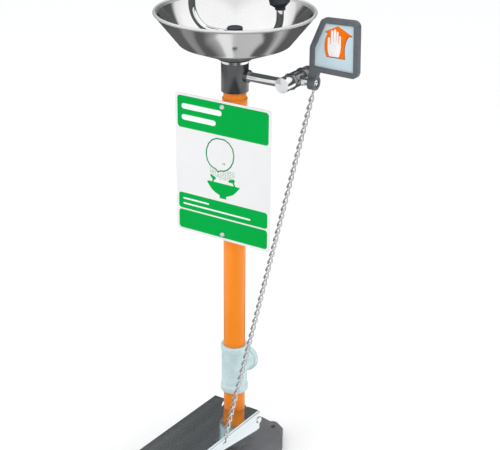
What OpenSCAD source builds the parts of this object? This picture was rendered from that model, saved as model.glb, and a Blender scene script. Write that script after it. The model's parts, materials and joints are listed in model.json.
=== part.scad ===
// Pedestal eyewash station: floor flange, 1 1/4 in waste stanchion, 11 1/2 in bowl, two spray heads,
// a stay-open ball valve worked by a push flag or, through a chain, by a foot treadle.
// Frame: origin on the floor at the stanchion's axis, +Z up, -Y towards the user, +X to the valve.

/* [Stanchion] */
// Height of the bowl's rim above the floor
rim_h = 908; // [760:1:1100]
// Outside diameter of the 1 1/4 in pipe
pipe_d = 42.2; // [34:0.1:52]
// Wall of the 1 1/4 in pipe
pipe_wall = 3.6; // [2:0.1:5]
// How far a pipe end screws into a socket
pipe_engage = 17; // [10:1:20]

/* [Floor flange] */
// Radius of the round flange
flange_r = 99; // [80:1:130]
// Thickness of the flange
flange_t = 18; // [12:1:24]
// Distance of each anchor hole from the axis
anchor_pcr = 90; // [75:1:94]
// Angle of each anchor hole from the front-to-back line
anchor_angle = 30; // [20:1:45]
// Radius of each anchor hole
anchor_hole_r = 5.5; // [4:0.1:7]
// Height of the pipe socket above the floor
socket_h = 56; // [40:1:60]

/* [Waste tee] */
// Height of the tee's lower end
tee_z = 136; // [125:1:200]
// Length of the tee's run
tee_len = 101; // [85:1:130]
// Reach of the waste branch from the axis
branch_reach = 47; // [38:1:70]
// Width of each banded collar
collar_w = 12; // [8:1:14]

/* [Bowl] */
// Outside diameter of the bowl's rim
bowl_d = 292; // [250:1:340]
// Radius where the wall meets the bottom
bowl_base_r = 103.6; // [80:0.1:115]
// Height of the sloping wall
bowl_wall_h = 59; // [45:1:75]
// Depth from the rim to the flat centre's underside
bowl_depth = 86.7; // [75:0.1:110]
// Thickness of the sheet
bowl_sheet = 1.2; // [0.8:0.1:2]
// Radius of the flat centre
bowl_flat_r = 31; // [28:1:40]
// Radius of the rolled lip
lip_r = 3; // [1.5:0.1:4]

/* [Centre fitting] */
// Radius of the supply and drain body
body_r = 25.2; // [24:0.1:32]
// Height of the supply and drain body
body_h = 53.3; // [46:0.1:70]
// Height of the ring nut above the body
ring_nut_h = 6.8; // [5:0.1:10]
// Thickness of the rubber washer under the bowl
washer_t = 1.8; // [1:0.1:3]
// Outside radius of the drain tube
tailpiece_r = 19.9; // [18:0.1:21.5]
// Depth of the valve line below the top of the body
supply_drop = 22.2; // [20:0.1:24]
// Outside radius of the 3/8 in supply pipe
supply_r = 8.6; // [7:0.1:9.5]
// Wall of the supply pipe
supply_wall = 2.3; // [1.5:0.1:3]

/* [Spray heads] */
// Distance of each spray arm from the axis
arm_x = 93.3; // [80:0.1:105]
// Bend radius of each arm
arm_bend_r = 45.3; // [35:0.1:50]
// Outside radius of the arm's tube
arm_r = 6.4; // [5:0.1:8]
// Wall of the arm's tube
arm_wall = 1.2; // [0.8:0.1:2]
// Height of the head's neck above the rim
neck_rise = 13.4; // [8:0.1:30]
// Radius of the spray hub
hub_r = 14; // [13:0.1:20]
// Radius of each spray head
head_r = 18.5; // [16:0.1:26]
// Height of each spray head
head_h = 26; // [22:1:34]
// Inward tilt of each spray head
head_tilt = 12; // [0:1:20]
// Height of each dust cover
cover_h = 9; // [7:0.5:14]

/* [Valve] */
// Distance of the valve's line from the axis
valve_x = 107.9; // [95:0.1:130]
// Distance of the ball's centre behind the axis
ball_y = 32; // [28:0.1:45]
// Radius of the elbow and of the valve's ends
elbow_r = 13.7; // [12:0.1:18]
// Radius of the ball
ball_r = 9; // [8:0.1:10]
// Radius of the water way
port_r = 6.3; // [4:0.1:7]
// Radius of the 1/2 in supply socket
inlet_r = 10.3; // [8:0.1:12]
// Radius of the valve stem
stem_r = 4; // [3:0.1:4.5]

/* [Push flag] */
// Radius of the flag's hub
grip_hub_r = 13; // [12:0.1:16]
// Length of the flag's hub along the stem
grip_hub_len = 13.4; // [13:0.1:20]
// Width of the flag's rim
flag_rim = 9; // [6:0.5:14]
// Thickness of the flag
flag_t = 11; // [8:0.5:14]
// Width of the flag's lower edge
flag_w = 96; // [80:1:130]
// Height of the flag
flag_h = 100; // [80:1:130]
// Distance of the chain pin from the stem's axis
crank_r = 14; // [13:0.1:16]

/* [Chain] */
// Wire diameter of the links
wire_d = 2.5; // [2:0.1:3]
// Number of links, an even number
links = 46; // [40:2:56]
// Mean radius of a link's round ends
link_r = 4; // [3.5:0.1:5]
// Mean radius of the top ring
ring_r = 6.7; // [6.7:0.1:7.2]

/* [Treadle] */
// Width of the treadle
treadle_w = 110; // [96:1:150]
// Reach of the treadle in front of its hinge
treadle_len = 325; // [260:1:400]
// Thickness of the treadle's sheet
treadle_t = 2.5; // [1.5:0.1:3]
// Height of the hinge above the floor
hinge_z = 78.3; // [72:0.1:95]
// Slope of the treadle at rest
treadle_slope = 2.3; // [0:0.1:5]
// Height of the tread above the hinge
tread_rise = 16.9; // [15:0.1:24]
// Depth of the side flange below the hinge
flange_drop = 24; // [16:0.5:26]

/* [Sign] */
// Width of the sign
sign_w = 208; // [150:1:260]
// Height of the sign
sign_h = 273; // [200:1:330]
// Distance of the sign's face from the axis
sign_y = 41.7; // [38:0.1:60]
// Thickness of the sign
sign_t = 1.5; // [1:0.1:3]
// Gap between the centre fitting and the sign's top
sign_gap = 9.4; // [6:0.1:40]
// Distance of each sign screw from the sign's edge
sign_screw_in = 11; // [9:0.5:20]

/* [Hidden] */
$fn = 64;
e = 0.5;                 // overlap of cutting shapes
slack = 0.05;            // radial clearance of screwed, pressed and running fits
air = 0.3;               // gap between faces of pieces that move past each other

pipe_r = pipe_d / 2;
bowl_z = rim_h - bowl_depth;
body_top = bowl_z - washer_t - ring_nut_h;
body_z = body_top - body_h;
valve_z = body_top - supply_drop;
tee_top = tee_z + tee_len;
tee_mid = tee_z + tee_len / 2;
tee_r = pipe_r + 4.3;
collar_r = pipe_r + 5.9;
passage_r = pipe_r - pipe_wall - 0.5;
tail_engage = 10;

arm_z = rim_h - arm_bend_r;
hub_z = arm_z - 15;
hub_top = arm_z + 11.3;
riser_top = hub_z + 7;
neck_z = rim_h + neck_rise;
arm_top = neck_z + 8;
neck_r = arm_r + 2.8;
hinge_out = head_r + 4.5;
cover_pin_r = 1.25;
knuckle_r = 3;
knuckle_w = 8;

elbow_end = supply_r + 1.2;  // the elbow's rear face
valve_rear = ball_y + 18;    // the valve body's rear face
gland_x = valve_x + ball_r + 7;
gland_deep = 4.4;
gland_t = 14.2;
gland_hex = 6;
grip_x = gland_x + gland_t + 0.5;
grip_end = grip_x + grip_hub_len;
nut_deep = 5;
slot_w = 4.4;
slot_x = grip_x + 3.9;
ear_half = 4.6;
flag_x = grip_x;
flag_z = valve_z + 22.5;
panel_set = 3;
back_t = 3;
pin_y = ball_y + crank_r * cos(45);
pin_z = valve_z + crank_r * sin(45);
ring_y = pin_y + crank_r * 0.271;
ring_z = pin_z - 1.5;
ring_wire_r = 0.9;
ring_lean = 25;           // the link leans along the chain's pull
ring_shank = 18;
eye_small_r = 3.5;
pin_r = 1.25;

lug_r = 13;
lug_side = 23 - lug_r;
hinge_y = 2;
ear_x = treadle_w / 2 - treadle_t - 0.5;
ear_t = 3;
hinge_r = 3.95;
notch_r = pipe_r + 4.4;
hook_y = -119.6;
hook_z = hinge_z + 10.5;
hook_hole_r = 3;
hook_lift = 1.2;             // the hook's wire pulls against the hole's upper edge
hook_r = 5;
eye_r = 4;
wire_r = wire_d / 2;
play = 0.3;
flange_mid = (treadle_w - treadle_t) / 2;
hook_mid = [flange_mid, hook_y, hook_z + hook_lift + hook_r];
eye_at = hook_mid + [hook_r, 0, eye_r + wire_r + 7];
chain_low = eye_at + [0, 0, eye_r - wire_d - play];
ring_eye = [slot_x, ring_y - (ring_shank + eye_small_r) * sin(ring_lean),
    ring_z - ring_r - (ring_shank + eye_small_r) * cos(ring_lean)];
chain_high = ring_eye + [0, 0, wire_r + ring_wire_r + play - eye_small_r];
chain_run = chain_high - chain_low;
link_span = (norm(chain_run) + (links - 1) * (wire_d + play)) / links;

sign_top = body_z - sign_gap;
clamp_h = 14;
clamp_r = pipe_r + 2.2;
sign_rows = [sign_top - sign_screw_in, sign_top - sign_h + sign_screw_in];
sign_screw_r = 2.5;

steel = [0.78, 0.80, 0.81];
chrome = [0.88, 0.89, 0.90];
orange = [1.0, 0.52, 0.13];
slate = [0.33, 0.34, 0.35];
graphite = [0.16, 0.18, 0.22];
galvanised = [0.74, 0.83, 0.84];

// A cylinder along X from x0 to x1
module along_x(x0, x1, r, y, z, fn = $fn)
    translate([x0, y, z]) rotate([0, 90, 0]) cylinder(h = x1 - x0, r = r, $fn = fn);

// A cylinder along Y from y0 to y1
module along_y(y0, y1, r, x, z, fn = $fn)
    translate([x, y1, z]) rotate([90, 0, 0]) cylinder(h = y1 - y0, r = r, $fn = fn);

// A ring of wire in the XZ plane
module wire_ring(mean_r, w_r)
    rotate([90, 0, 0]) rotate_extrude() translate([mean_r, 0]) circle(r = w_r, $fn = 24);

// A tube from z0 to z1
module tube(z0, z1, r_out, r_in)
    translate([0, 0, z0]) difference() {
        cylinder(h = z1 - z0, r = r_out);
        translate([0, 0, -e]) cylinder(h = z1 - z0 + 2 * e, r = r_in);
    }

// Repeats its children at the four anchor holes
module at_anchors()
    for (side = [-1, 1], end = [0, 180])
        rotate([0, 0, end + side * anchor_angle]) translate([0, anchor_pcr, 0]) children();

module floor_flange() color(slate) difference() {
    union() {
        translate([0, 0, 0]) cylinder(h = flange_t - 3, r = flange_r, $fn = 128);
        translate([0, 0, flange_t - 3]) cylinder(h = 3, r1 = flange_r, r2 = flange_r - 3, $fn = 128);
        intersection() {
            at_anchors() hull() {
                translate([-23, -30, 0]) cube([46, 10, flange_t - 2]);
                for (x = [-lug_side, lug_side]) translate([x, flange_r - anchor_pcr + 7.5 - lug_r, 0])
                    cylinder(h = flange_t - 2, r = lug_r);
            }
            cylinder(h = flange_t, r = flange_r + 12);
        }
        translate([0, 0, flange_t - e]) cylinder(h = 12 + e, r1 = pipe_r + 16, r2 = pipe_r + 8);
        translate([0, 0, flange_t]) cylinder(h = socket_h - flange_t, r = pipe_r + 8);
    }
    translate([0, 0, flange_t]) cylinder(h = socket_h, r = pipe_r + slack);
    translate([0, 0, -e]) cylinder(h = socket_h, r = passage_r);
    at_anchors() translate([0, 0, -e]) cylinder(h = flange_t + 2 * e, r = anchor_hole_r);
    along_x(0, pipe_r + 12, 3, 0, socket_h - 12);
}

module flange_set_screws() color(slate)
    along_x(pipe_r + slack, pipe_r + 8, 3, 0, socket_h - 12);

module lower_pipe() color(orange)
    tube(flange_t, tee_z + pipe_engage, pipe_r, pipe_r - pipe_wall);

module waste_tee() color(galvanised) difference() {
    union() {
        translate([0, 0, tee_z]) cylinder(h = tee_len, r = tee_r);
        for (z = [tee_z, tee_top - collar_w]) translate([0, 0, z]) cylinder(h = collar_w, r = collar_r);
        along_y(0, branch_reach, tee_r - 1, 0, tee_mid);
        along_y(branch_reach - collar_w, branch_reach, collar_r, 0, tee_mid);
    }
    translate([0, 0, tee_z - e]) cylinder(h = pipe_engage + e, r = pipe_r + slack);
    translate([0, 0, tee_top - pipe_engage]) cylinder(h = pipe_engage + e, r = pipe_r + slack);
    translate([0, 0, tee_z]) cylinder(h = tee_len, r = passage_r);
    along_y(branch_reach - pipe_engage, branch_reach + e, pipe_r + slack, 0, tee_mid);
    along_y(0, branch_reach, passage_r, 0, tee_mid);
}

module upper_pipe() color(orange)
    tube(tee_top - pipe_engage, body_z + pipe_engage, pipe_r, pipe_r - pipe_wall);

module supply_drain_body() color(slate) difference() {
    union() {
        difference() {
            union() {
                translate([0, 0, body_z]) cylinder(h = body_h, r = body_r);
                along_x(0, body_r + 5.5, supply_r + 3.2, 0, valve_z);
            }
            translate([0, 0, body_z - e]) cylinder(h = pipe_engage + e, r = pipe_r + slack);
            translate([0, 0, body_z]) cylinder(h = body_h, r = passage_r);
            translate([0, 0, body_top - tail_engage]) cylinder(h = tail_engage + e, r = tailpiece_r + slack);
        }
        along_x(-supply_r - 3, passage_r + 1, supply_r + 3, 0, valve_z);
        translate([0, 0, valve_z]) cylinder(h = 14, r = supply_r + 3);
    }
    along_x(supply_r + 5.5, body_r + 6, supply_r + slack, 0, valve_z);
    along_x(0, body_r, port_r, 0, valve_z);
    translate([0, 0, valve_z]) cylinder(h = 30, r = port_r);
    translate([0, 0, valve_z + 7]) cylinder(h = 30, r = supply_r + slack);
}

module drain_tailpiece() color(chrome) difference() {
    union() {
        translate([0, 0, body_top - tail_engage])
            cylinder(h = tail_engage + washer_t + ring_nut_h + 5, r = tailpiece_r);
        translate([0, 0, bowl_z + bowl_sheet + 1]) cylinder(h = 2.5, r = bowl_flat_r - 4);
    }
    translate([0, 0, body_top - tail_engage - e]) cylinder(h = 60, r = tailpiece_r - 3.2);
    translate([0, 0, bowl_z + bowl_sheet + 2.3]) cylinder(h = 5, r = tailpiece_r);
}

module ring_nut() color(chrome) difference() {
    union() {
        translate([0, 0, body_top]) cylinder(h = ring_nut_h - 1.6, r = body_r - 0.2);
        translate([0, 0, body_top + ring_nut_h - 1.6]) cylinder(h = 1.6, r = body_r + 1.2);
    }
    translate([0, 0, body_top - e]) cylinder(h = ring_nut_h + 2 * e, r = tailpiece_r + slack);
}

module bowl_washer() color(graphite)
    tube(bowl_z - washer_t, bowl_z, bowl_flat_r + 0.2, tailpiece_r + slack);

// One side of the bowl's sheet, from the flat centre to the lip; t sets it in from the outer face
function bowl_side(t) = [
    [bowl_flat_r, bowl_z + t],
    for (i = [0:4]) let (a = -68 + i * 9, c = [bowl_base_r - 9.5, rim_h - bowl_wall_h + 8.5], r = 11 - t)
        [c[0] + r * cos(a), c[1] + r * sin(a)],
    [bowl_d / 2 - lip_r - t, rim_h - lip_r]];

module bowl() color(steel) rotate_extrude($fn = 128) {
    polygon(concat([[tailpiece_r + slack, bowl_z]], bowl_side(0),
        [for (i = [6:-1:0]) bowl_side(bowl_sheet)[i]], [[tailpiece_r + slack, bowl_z + bowl_sheet]]));
    translate([bowl_d / 2 - lip_r, rim_h - lip_r]) circle(r = lip_r, $fn = 24);
}

module bowl_gasket() color(graphite)
    tube(bowl_z + bowl_sheet, bowl_z + bowl_sheet + 1, bowl_flat_r - 4.5, tailpiece_r + slack);

module drain_strainer() color(chrome) translate([0, 0, bowl_z + bowl_sheet + 2.3]) difference() {
    cylinder(h = 1.2, r = tailpiece_r - slack);
    translate([0, 0, -e]) cylinder(h = 3, r = supply_r + slack);
    for (a = [0:30:330]) rotate([0, 0, a]) translate([(tailpiece_r + supply_r) / 2 - 1.5, 0, -e])
        cylinder(h = 3, r = 1.8, $fn = 24);
}

module supply_riser() color(chrome)
    tube(valve_z + 7, riser_top, supply_r, supply_r - supply_wall);

module spray_hub() color(chrome) difference() {
    union() {
        translate([0, 0, hub_z]) cylinder(h = hub_top - hub_z, r = hub_r);
        along_x(-hub_r - 5, hub_r + 5, arm_r + 2.4, 0, arm_z);
    }
    translate([0, 0, hub_z - e]) cylinder(h = riser_top - hub_z + e, r = supply_r + slack);
    translate([0, 0, hub_z]) cylinder(h = hub_top, r = 5);
    along_x(-hub_r - 6, hub_r + 6, arm_r - arm_wall, 0, arm_z);
    for (s = [0, 180]) rotate([0, 0, s]) along_x(hub_r - 6, hub_r + 6, arm_r + slack, 0, arm_z);
}

module hub_cap() color(graphite) union() {
    translate([0, 0, hub_top]) cylinder(h = 2, r = hub_r);
    translate([0, 0, hub_top + 2]) cylinder(h = 1.2, r1 = hub_r, r2 = hub_r - 1.2);
    translate([0, 0, hub_top - 5]) cylinder(h = 5, r = 4.95);
}

// A bar of the arm's path with the given radius, on the +X side
module arm_bar(r, over = 0) {
    along_x(hub_r - 6 - over, arm_x - arm_bend_r, r, 0, arm_z);
    translate([arm_x - arm_bend_r, 0, rim_h]) rotate([90, 0, 0]) rotate([0, 0, -90])
        rotate_extrude(angle = 90) translate([arm_bend_r, 0]) circle(r = r, $fn = 48);
    translate([arm_x, 0, rim_h]) cylinder(h = arm_top - rim_h + over, r = r);
}

module spray_arm() difference() {
    arm_bar(arm_r);
    arm_bar(arm_r - arm_wall, e);
}
module left_spray_arm() color(chrome) rotate([0, 0, 180]) spray_arm();
module right_spray_arm() color(chrome) spray_arm();

// Places a head's own pieces: the neck's end at z = 0, the axis tilted in, +X away from the middle
module at_head(side) rotate([0, 0, side < 0 ? 180 : 0])
    translate([arm_x, 0, arm_top]) rotate([0, -head_tilt, 0]) children();

module spray_head() color(graphite) difference() {
    union() {
        rotate([0, head_tilt, 0]) translate([0, 0, neck_z - arm_top]) cylinder(h = 8, r = neck_r);
        translate([0, 0, -3]) cylinder(h = 6, r1 = neck_r + 1, r2 = head_r - 0.7);
        translate([0, 0, 3]) cylinder(h = head_h - 3 - 8, r1 = head_r - 0.7, r2 = head_r);
        for (s = [-1, 1]) translate([head_r - 4, s * (knuckle_w / 2 + 2.3) - 2, head_h - 15])
            cube([6.5, 4, 7]);
        for (s = [-1, 1]) along_y(s * (knuckle_w / 2 + 2.3) - 2, s * (knuckle_w / 2 + 2.3) + 2,
            knuckle_r, hinge_out, head_h - 9.5);
    }
    rotate([0, head_tilt, 0]) translate([0, 0, neck_z - arm_top - e]) cylinder(h = 8 + e, r = arm_r + slack);
    cylinder(h = 20, r = arm_r - arm_wall);
    translate([0, 0, 6]) cylinder(h = 20, r = head_r - 3);
    along_y(-12, 12, cover_pin_r + 0.02, hinge_out, head_h - 9.5);
}
module left_spray_head() at_head(-1) spray_head();
module right_spray_head() at_head(1) spray_head();

module flow_controls() color("white") for (side = [-1, 1])
    at_head(side) translate([0, 0, 6]) difference() {
    cylinder(h = 4, r = head_r - 3 - slack);
    translate([0, 0, -e]) cylinder(h = 6, r = 2.2, $fn = 24);
}

module spray_faces() color(graphite) for (side = [-1, 1])
    at_head(side) translate([0, 0, head_h - 11]) difference() {
    cylinder(h = 2.5, r = head_r - 3 - slack);
    for (a = [0:45:315]) rotate([0, 0, a]) translate([head_r - 9, 0, -e]) cylinder(h = 5, r = 1.1, $fn = 16);
    for (a = [0:90:270]) rotate([0, 0, a]) translate([4, 0, -e]) cylinder(h = 5, r = 1.1, $fn = 16);
}

module cover_pins() color(steel) for (side = [-1, 1]) at_head(side)
    along_y(-knuckle_w / 2 - 4.3, knuckle_w / 2 + 4.3, cover_pin_r, hinge_out, head_h - 9.5);

module dust_cover() color(graphite) difference() {
    union() {
        translate([0, 0, head_h - 8 + air]) cylinder(h = cover_h - 2, r = head_r + 0.4);
        translate([0, 0, head_h - 8 + air + cover_h - 2]) cylinder(h = 2, r1 = head_r + 0.4, r2 = head_r - 2);
        along_y(-knuckle_w / 2, knuckle_w / 2, knuckle_r, hinge_out, head_h - 9.5);
        translate([head_r - 4, -knuckle_w / 2, head_h - 8 + air]) cube([8.5, knuckle_w, 3]);
    }
    translate([0, 0, head_h - 9]) cylinder(h = cover_h - 1, r = head_r - 2);
    along_y(-12, 12, cover_pin_r + slack, hinge_out, head_h - 9.5);
}
module left_dust_cover() at_head(-1) dust_cover();
module right_dust_cover() at_head(1) dust_cover();

module supply_nipple() color(chrome) difference() {
    along_x(supply_r + 5.5, valve_x - elbow_r + 5, supply_r, 0, valve_z);
    along_x(0, valve_x, supply_r - supply_wall, 0, valve_z);
}

module supply_elbow() color(chrome) difference() {
    union() {
        along_y(-15, elbow_end, elbow_r, valve_x, valve_z);
        along_y(elbow_end - e, elbow_end + 7, inlet_r, valve_x, valve_z);
    }
    along_x(valve_x - elbow_r - 5, valve_x - elbow_r + 5, supply_r + slack, 0, valve_z);
    along_x(valve_x - elbow_r, valve_x, port_r, 0, valve_z);
    along_y(-port_r, ball_y, port_r, valve_x, valve_z);
}

module valve_body() color(chrome) difference() {
    union() {
        along_y(elbow_end, elbow_end + 8, elbow_r + 1.8, valve_x, valve_z, 6);
        along_y(elbow_end + 8, valve_rear, elbow_r + 0.6, valve_x, valve_z);
        along_x(valve_x, gland_x, 9, ball_y, valve_z);
    }
    along_y(elbow_end - e, elbow_end + 7, inlet_r + slack, valve_x, valve_z);
    along_y(elbow_end, ball_y, port_r, valve_x, valve_z);
    along_y(ball_y - ball_r - 1.5, valve_rear + e, ball_r + 1, valve_x, valve_z);
    along_x(valve_x, gland_x + e, stem_r + slack, ball_y, valve_z);
    along_x(gland_x - gland_deep, gland_x + e, 6.8, ball_y, valve_z);
}

module valve_end_adapter() color(chrome) difference() {
    union() {
        along_y(ball_y + ball_r + 1.5, valve_rear, ball_r + 1 - slack, valve_x, valve_z);
        along_y(valve_rear, valve_rear + 12, elbow_r + 1.8, valve_x, valve_z, 6);
        along_y(valve_rear + 12, valve_rear + 29, elbow_r, valve_x, valve_z);
    }
    along_y(ball_y, valve_rear + 30, port_r, valve_x, valve_z);
    along_y(valve_rear + 15, valve_rear + 30, inlet_r, valve_x, valve_z);
}

module valve_seats() color("white") for (s = [-1, 1]) difference() {
    along_y(ball_y + s * (ball_r - 1) - 2.5, ball_y + s * (ball_r - 1) + 2.5, ball_r + 1 - slack,
        valve_x, valve_z);
    along_y(ball_y - 20, ball_y + 20, port_r, valve_x, valve_z);
    translate([valve_x, ball_y, valve_z]) sphere(r = ball_r + air);
}

module valve_ball() color(chrome) difference() {
    translate([valve_x, ball_y, valve_z]) sphere(r = ball_r);
    translate([valve_x, ball_y, valve_z - 15]) cylinder(h = 30, r = port_r);
    translate([valve_x + ball_r - 2.6, ball_y - 12, valve_z - 1.6]) cube([5, 24, 3.2]);
}

module valve_stem() color(steel) union() {
    translate([valve_x + ball_r - 2.6, ball_y - 3, valve_z - 1.6]) cube([4, 6, 3.2]);
    along_x(valve_x + ball_r + 0.4, grip_end - nut_deep, stem_r, ball_y, valve_z);
    along_x(grip_end - nut_deep, grip_end - 0.4, 3, ball_y, valve_z);
}

module stem_packing() color("white") difference() {
    along_x(gland_x - gland_deep, gland_x - gland_deep / 2, 6.75, ball_y, valve_z);
    along_x(gland_x - 6, gland_x, stem_r + slack, ball_y, valve_z);
}

module packing_nut() color(steel) difference() {
    union() {
        along_x(gland_x - gland_deep / 2, gland_x, 6.75, ball_y, valve_z);
        along_x(gland_x, gland_x + gland_hex, 8.6, ball_y, valve_z, 6);
        along_x(gland_x + gland_hex - e, gland_x + gland_t, 7.2, ball_y, valve_z);
    }
    along_x(gland_x - 6, gland_x + gland_t + e, stem_r + slack, ball_y, valve_z);
}

// The flag's outline, seen from the front, drawn in by inset
module flag_outline(inset) {
    r = 11;
    hull() for (p = [[0, 0], [flag_w, -1], [flag_w - 2, flag_h], [flag_w * 0.2, flag_h - 2],
        [0, flag_h * 0.3]])
        translate([p[0] + (p[0] < flag_w / 2 ? r : -r), p[1] + (p[1] < flag_h / 2 ? r : -r)])
            circle(r = r - inset, $fn = 32);
}

module push_flag() color(slate) difference() {
    union() {
        along_x(grip_x, grip_end, grip_hub_r, ball_y, valve_z);
        translate([0, ball_y + flag_t / 2, 0]) rotate([90, 0, 0]) linear_extrude(flag_t)
            polygon([[flag_x, valve_z + 5], [grip_end, valve_z + 5], [grip_end + 6, flag_z + 5],
                [flag_x, flag_z + 14]]);
        translate([flag_x, ball_y + flag_t / 2, flag_z]) rotate([90, 0, 0])
            linear_extrude(flag_t) flag_outline(0);
        along_x(slot_x - ear_half, slot_x + ear_half, 3.4, pin_y, pin_z);
        translate([slot_x - ear_half + 1, ball_y, valve_z]) rotate([45, 0, 0]) translate([0, 0, -2.8])
            cube([2 * ear_half - 2, crank_r, 5.6]);
    }
    translate([flag_x, ball_y - flag_t / 2 + (flag_t - back_t), flag_z]) rotate([90, 0, 0])
        linear_extrude(flag_t) flag_outline(flag_rim);
    along_x(grip_x - e, grip_end + e, stem_r + 0.02, ball_y, valve_z);
    along_x(grip_end - nut_deep, grip_end + e, 8, ball_y, valve_z);
    difference() {
        translate([slot_x - slot_w / 2, ball_y + 2.6, valve_z - 30]) cube([slot_w, 30, 52]);
        along_x(0, grip_end + 10, 5.7, ball_y, valve_z);
    }
    along_x(slot_x - 8, slot_x + 8, pin_r + 0.02, pin_y, pin_z);
}

module flag_panel() color([0.72, 0.82, 0.86])
    translate([flag_x, ball_y + flag_t / 2 - back_t, flag_z]) rotate([90, 0, 0])
        linear_extrude(flag_t - back_t - panel_set) flag_outline(flag_rim + 0.2);

module flag_nut() color(steel) difference() {
    along_x(grip_end - nut_deep, grip_end - 1.5, 6, ball_y, valve_z, 6);
    along_x(grip_end - 10, grip_end + e, 3.02, ball_y, valve_z);
}

module chain_pin() color(steel)
    along_x(slot_x - ear_half, slot_x + ear_half, pin_r, pin_y, pin_z);

module chain_ring() color(steel) union() {
    translate([slot_x, ring_y, ring_z]) rotate([0, 0, 90]) wire_ring(ring_r, ring_wire_r);
    translate([slot_x, ring_y, ring_z - ring_r]) rotate([-ring_lean, 0, 0]) translate([0, 0, -ring_shank])
        cylinder(h = ring_shank, r = ring_wire_r, $fn = 24);
    translate(ring_eye) rotate([0, 0, 90]) wire_ring(eye_small_r, ring_wire_r);
}

// A stadium link standing on its lower end wire's centre, in the XZ plane
module link() {
    straight = link_span - 2 * link_r;
    translate([0, 0, link_r]) {
        for (s = [-1, 1]) translate([s * link_r, 0, 0]) cylinder(h = straight, r = wire_r, $fn = 24);
        rotate([90, 0, 0]) rotate([0, 0, 180]) half_ring(link_r);
        translate([0, 0, straight]) rotate([90, 0, 0]) half_ring(link_r);
    }
}
module half_ring(r) rotate_extrude(angle = 180) translate([r, 0]) circle(r = wire_r, $fn = 24);

module chain() color(steel) translate(chain_low) {
    heading = atan2(chain_run[1], chain_run[0]);
    lean = acos(chain_run[2] / norm(chain_run));
    rotate([0, 0, heading]) rotate([0, lean, 0]) rotate([0, 0, -heading])
        for (i = [0:links - 1]) translate([0, 0, i * (link_span - wire_d - play)])
            rotate([0, 0, i % 2 == 0 ? 90 : 0]) link();
}

module chain_hook() color(steel) union() {
    translate(hook_mid) rotate([90, 0, 0]) rotate([0, 0, 180]) half_ring(hook_r);
    translate(hook_mid + [hook_r, 0, 0]) cylinder(h = 7 + wire_r, r = wire_r, $fn = 24);
    translate(eye_at) wire_ring(eye_r, wire_r);
}

// Treadle's own frame: origin on the hinge axis, the tread level
module at_hinge() translate([0, hinge_y, hinge_z]) rotate([-treadle_slope, 0, 0]) children();

module treadle() color(steel) difference() {
    at_hinge() difference() {
        translate([-treadle_w / 2, 0, 0]) rotate([90, 0, 90]) linear_extrude(treadle_w)
            polygon([[7.5, tread_rise], [-treadle_len, tread_rise], [-treadle_len, tread_rise - 12],
                [-treadle_len * 0.73, tread_rise - 12], [-2, -flange_drop], [7.5, -flange_drop]]);
        translate([-treadle_w / 2 + treadle_t, -treadle_len + treadle_t, -flange_drop - 5])
            cube([treadle_w - 2 * treadle_t, treadle_len + 20, flange_drop + 5 + tread_rise - treadle_t]);
    }
    translate([0, 0, hinge_z]) cylinder(h = 60, r = notch_r);
    translate([-notch_r, 0, hinge_z]) cube([2 * notch_r, 60, 60]);
    along_x(-treadle_w, treadle_w, hinge_r + slack, hinge_y, hinge_z);
    along_x(0, treadle_w, hook_hole_r, hook_y, hook_z);
}

module treadle_bracket() color(slate) difference() {
    union() {
        translate([0, 0, hinge_z - 14]) cylinder(h = 22, r = pipe_r + 5);
        translate([-ear_x, hinge_y - 8, hinge_z - 14]) cube([2 * ear_x, 16, 5]);
        for (s = [0, 1]) mirror([s, 0, 0]) translate([ear_x - ear_t, hinge_y, hinge_z]) {
            rotate([0, 90, 0]) cylinder(h = ear_t, r = 10);
            translate([0, -10, -14]) cube([ear_t, 22, 14]);
            translate([0, 8.3, -14]) cube([ear_t, 3.7, 27]);
        }
    }
    translate([0, 0, hinge_z - 20]) cylinder(h = 60, r = pipe_r + slack);
    along_x(-treadle_w, treadle_w, hinge_r + slack, hinge_y, hinge_z);
    along_y(-pipe_r - 10, 0, 2.5, 0, hinge_z + 2);
}

module bracket_screws() color(steel)
    along_y(-pipe_r - 5, -pipe_r - slack, 2.5, 0, hinge_z + 2);

module hinge_bolts() color(steel) for (s = [0, 1]) mirror([s, 0, 0]) {
    along_x(ear_x - ear_t - 9, treadle_w / 2 + air, hinge_r, hinge_y, hinge_z);
    along_x(treadle_w / 2 + air, treadle_w / 2 + air + 4.5, 7.4, hinge_y, hinge_z, 6);
}

module hinge_nuts() color(steel) for (s = [0, 1]) mirror([s, 0, 0]) difference() {
    along_x(ear_x - ear_t - 6.5, ear_x - ear_t, 7.4, hinge_y, hinge_z, 6);
    along_x(0, treadle_w, hinge_r + 0.02, hinge_y, hinge_z);
}

module sign_panel() color("white") difference() {
    r = 6;
    translate([0, -sign_y + sign_t, sign_top - sign_h / 2]) rotate([90, 0, 0])
        linear_extrude(sign_t) union() {
        square([sign_w - 2 * r, sign_h], center = true);
        square([sign_w, sign_h - 2 * r], center = true);
        for (x = [-1, 1], z = [-1, 1]) translate([x * (sign_w / 2 - r), z * (sign_h / 2 - r)]) circle(r = r);
    }
    for (z = sign_rows) along_y(-sign_y - 5, -sign_y + 5, sign_screw_r + slack, 0, z);
}

module sign_clamps() color(slate) for (z = sign_rows) difference() {
    union() {
        translate([0, 0, z - clamp_h / 2]) cylinder(h = clamp_h, r = clamp_r);
        translate([-7, -sign_y + sign_t, z - clamp_h / 2]) cube([14, sign_y - sign_t - pipe_r + 1, clamp_h]);
    }
    translate([0, 0, z - clamp_h]) cylinder(h = 2 * clamp_h, r = pipe_r + slack);
    along_y(-sign_y - 5, -pipe_r, sign_screw_r + slack, 0, z);
}

module sign_screws() color(steel) for (z = sign_rows) {
    along_y(-sign_y, -pipe_r - 2, sign_screw_r, 0, z);
    along_y(-sign_y - 1.6, -sign_y, 4.6, 0, z);
}

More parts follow.
